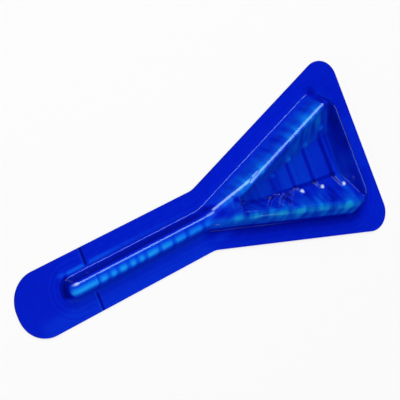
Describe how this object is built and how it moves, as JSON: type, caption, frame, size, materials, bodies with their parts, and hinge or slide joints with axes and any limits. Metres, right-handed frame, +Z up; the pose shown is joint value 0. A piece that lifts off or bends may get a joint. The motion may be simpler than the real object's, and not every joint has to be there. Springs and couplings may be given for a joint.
{
  "type": "cell spreader",
  "caption": "One-piece formed-sheet cell spreader: a flat flange with a hollow handle ridge that forks into raised arms round a ribbed panel.",
  "frame": {"origin": "middle of the length, on the flange's underside", "axes": "+X along the handle towards the straight spreading edge, +Z up, away from the surface that the flange lies on"},
  "size_m": [0.14, 0.059, 0.0077],
  "materials": {
    "blue_sheet": "clear blue vacuum-formed sheet, high gloss"
  },
  "bodies": {
    "root": {"spreader": "blue_sheet"}
  },
  "joints": []
}
